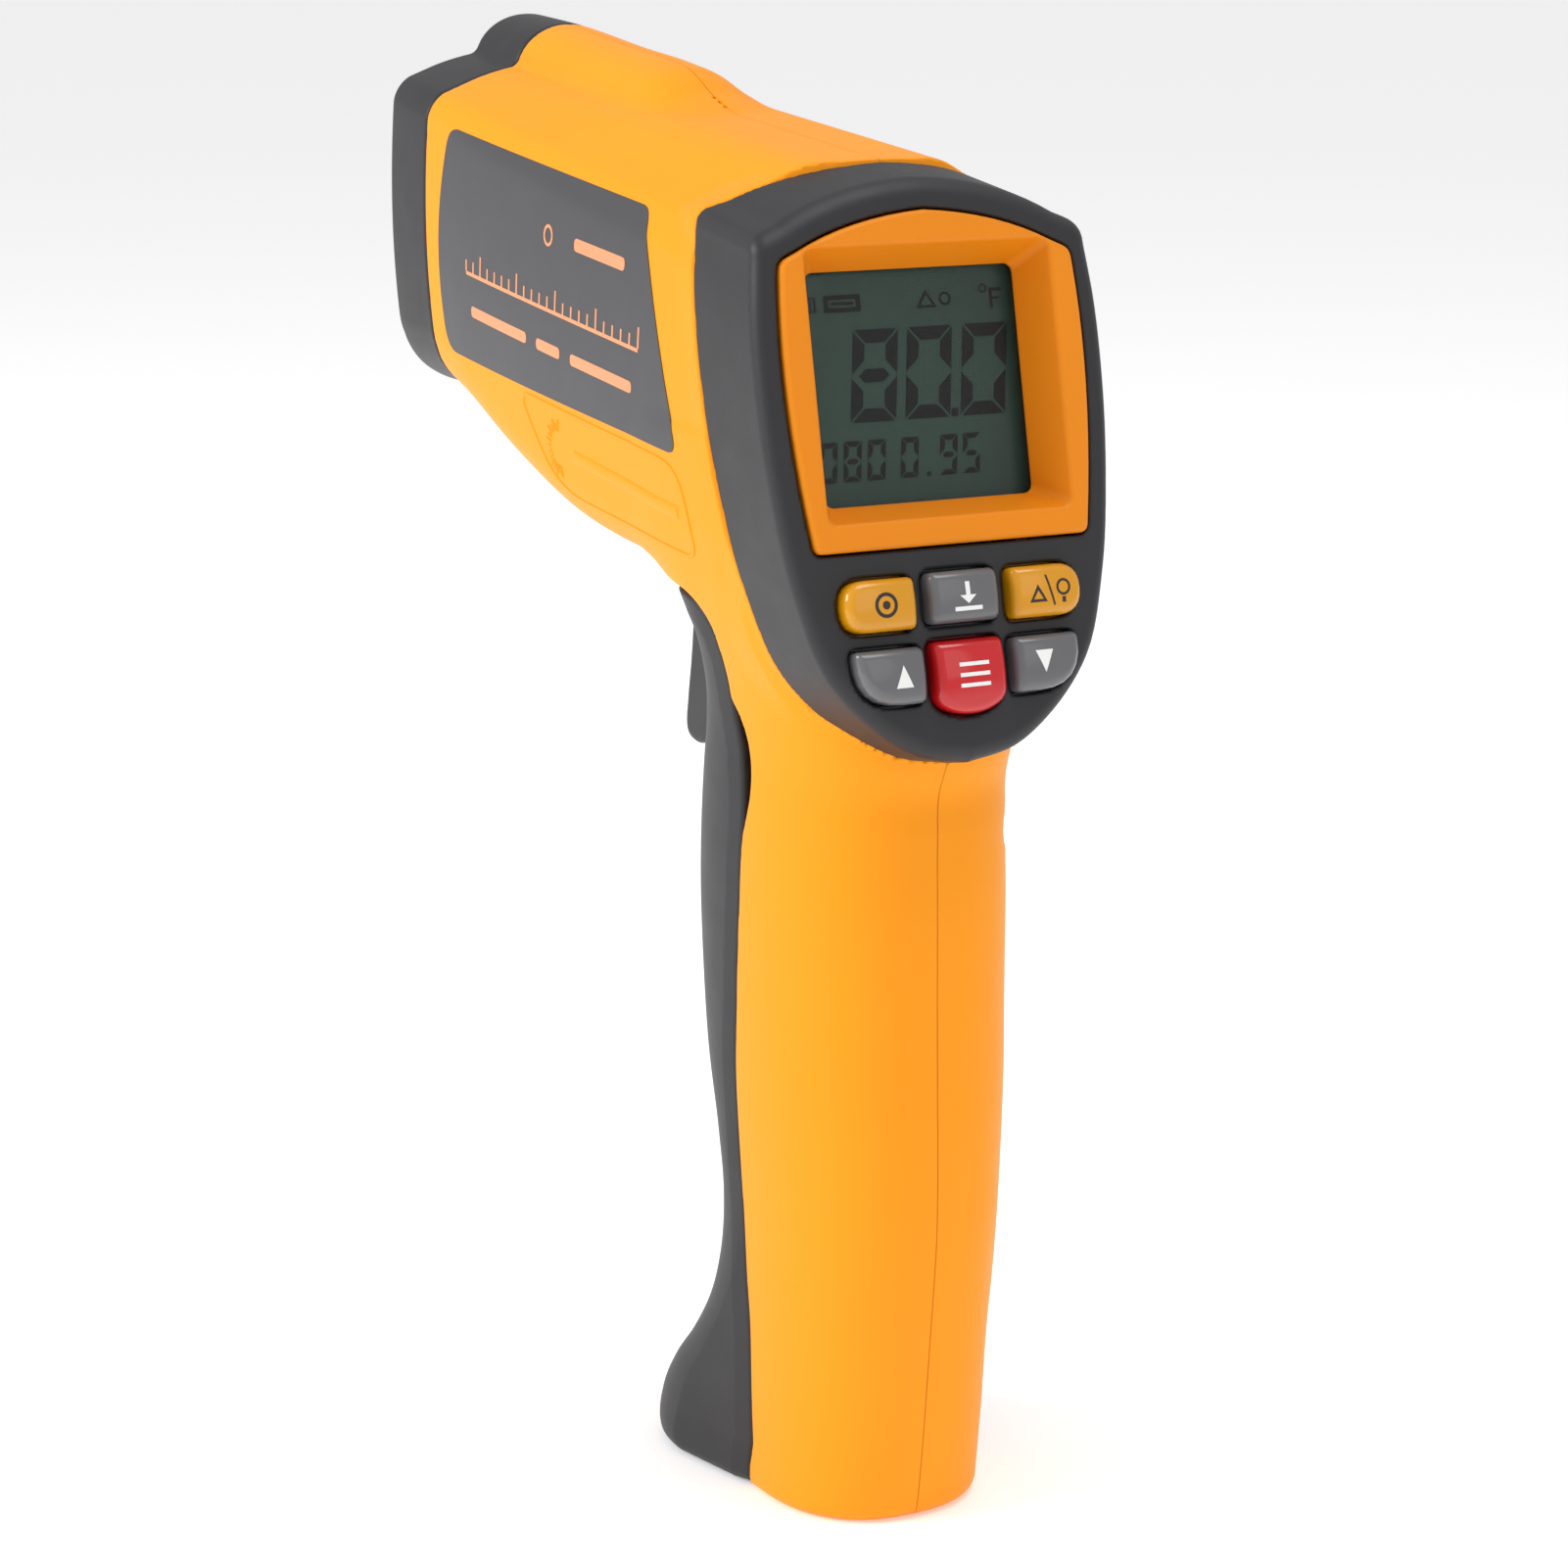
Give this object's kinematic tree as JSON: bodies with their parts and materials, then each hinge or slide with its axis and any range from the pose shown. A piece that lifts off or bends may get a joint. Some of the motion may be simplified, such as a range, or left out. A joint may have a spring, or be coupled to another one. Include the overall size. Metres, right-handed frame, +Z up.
{
  "type": "infrared thermometer",
  "caption": "Pistol-shaped hand-held infrared thermometer with a display and keypad on its rear face, a trigger and a hinged battery door in the grip.",
  "frame": {"origin": "on the surface the foot stands on, below the middle of the overall length and width", "axes": "+X towards the lens, +Y towards the left side, +Z up"},
  "size_m": [0.1573, 0.0562, 0.2211],
  "materials": {
    "body_orange": "fine satin moulded",
    "grip_black": "soft-touch satin",
    "label_grey": "satin printed film",
    "key_amber": "clear glossy",
    "key_grey": "clear glossy",
    "key_red": "clear glossy",
    "silicone": "matt",
    "circuit_board": "solder resist",
    "lcd_glass": "glossy",
    "clear_window": "polished",
    "diffuser": "satin",
    "optic_glass": "polished",
    "steel": "satin",
    "brass": "satin",
    "battery_case": "glossy wrap",
    "lead_red": "satin insulation",
    "lead_black": "satin insulation"
  },
  "bodies": {
    "body": {"backlight": "diffuser", "battery": "battery_case", "battery_snap": "grip_black", "buzzer": "grip_black", "display_bezel": "grip_black", "display_frame": "body_orange", "door_pin": "steel", "front_cap": "grip_black", "housing_left": "body_orange", "housing_right": "body_orange", "housing_screw_1": "steel", "housing_screw_2": "steel", "housing_screw_3": "steel", "housing_screw_4": "steel", "housing_screw_5": "steel", "keypad_mat": "silicone", "label_left": "label_grey", "label_right": "label_grey", "laser_module": "brass", "laser_window": "optic_glass", "lcd_panel": "lcd_glass", "lcd_window": "clear_window", "lead_black": "lead_black", "lead_red": "lead_red", "lens": "optic_glass", "lens_ring": "grip_black", "lens_tube": "grip_black", "main_board": "circuit_board", "processor": "grip_black", "sensor_board": "circuit_board", "sensor_can": "steel", "trigger_pin": "steel", "trigger_switch": "grip_black", "zebra_strip": "silicone"},
    "trigger": {"trigger": "grip_black", "trigger_spring": "steel"},
    "door": {"battery_door": "grip_black"},
    "set_key": {"key_set": "key_amber"},
    "store_key": {"key_store": "key_grey"},
    "light_key": {"key_light": "key_amber"},
    "up_key": {"key_up": "key_grey"},
    "mode_key": {"key_mode": "key_red"},
    "down_key": {"key_down": "key_grey"}
  },
  "joints": [
    {"name": "trigger_pull", "type": "hinge", "parent": "body", "child": "trigger", "pos_m": [-0.0054, 0, 0.15], "axis": [0, 1, 0], "range_deg": [0, 7], "stiffness_Nm_per_rad": 0.5, "springref_deg": -3.44},
    {"name": "door_swing", "type": "hinge", "parent": "body", "child": "door", "pos_m": [-0.0154, 0, 0.0064], "axis": [0, 1, 0], "range_deg": [0, 45]},
    {"name": "set_key_press", "type": "slide", "parent": "body", "child": "set_key", "axis": [0.978, 0, -0.2085], "range_m": [0, 0.0012], "stiffness_N_per_m": 600, "springref_m": -0.0005},
    {"name": "store_key_press", "type": "slide", "parent": "body", "child": "store_key", "axis": [0.978, 0, -0.2085], "range_m": [0, 0.0012], "stiffness_N_per_m": 600, "springref_m": -0.0005},
    {"name": "light_key_press", "type": "slide", "parent": "body", "child": "light_key", "axis": [0.978, 0, -0.2085], "range_m": [0, 0.0012], "stiffness_N_per_m": 600, "springref_m": -0.0005},
    {"name": "up_key_press", "type": "slide", "parent": "body", "child": "up_key", "axis": [0.978, 0, -0.2085], "range_m": [0, 0.0012], "stiffness_N_per_m": 600, "springref_m": -0.0005},
    {"name": "mode_key_press", "type": "slide", "parent": "body", "child": "mode_key", "axis": [0.978, 0, -0.2085], "range_m": [0, 0.0012], "stiffness_N_per_m": 600, "springref_m": -0.0005},
    {"name": "down_key_press", "type": "slide", "parent": "body", "child": "down_key", "axis": [0.978, 0, -0.2085], "range_m": [0, 0.0012], "stiffness_N_per_m": 600, "springref_m": -0.0005}
  ]
}
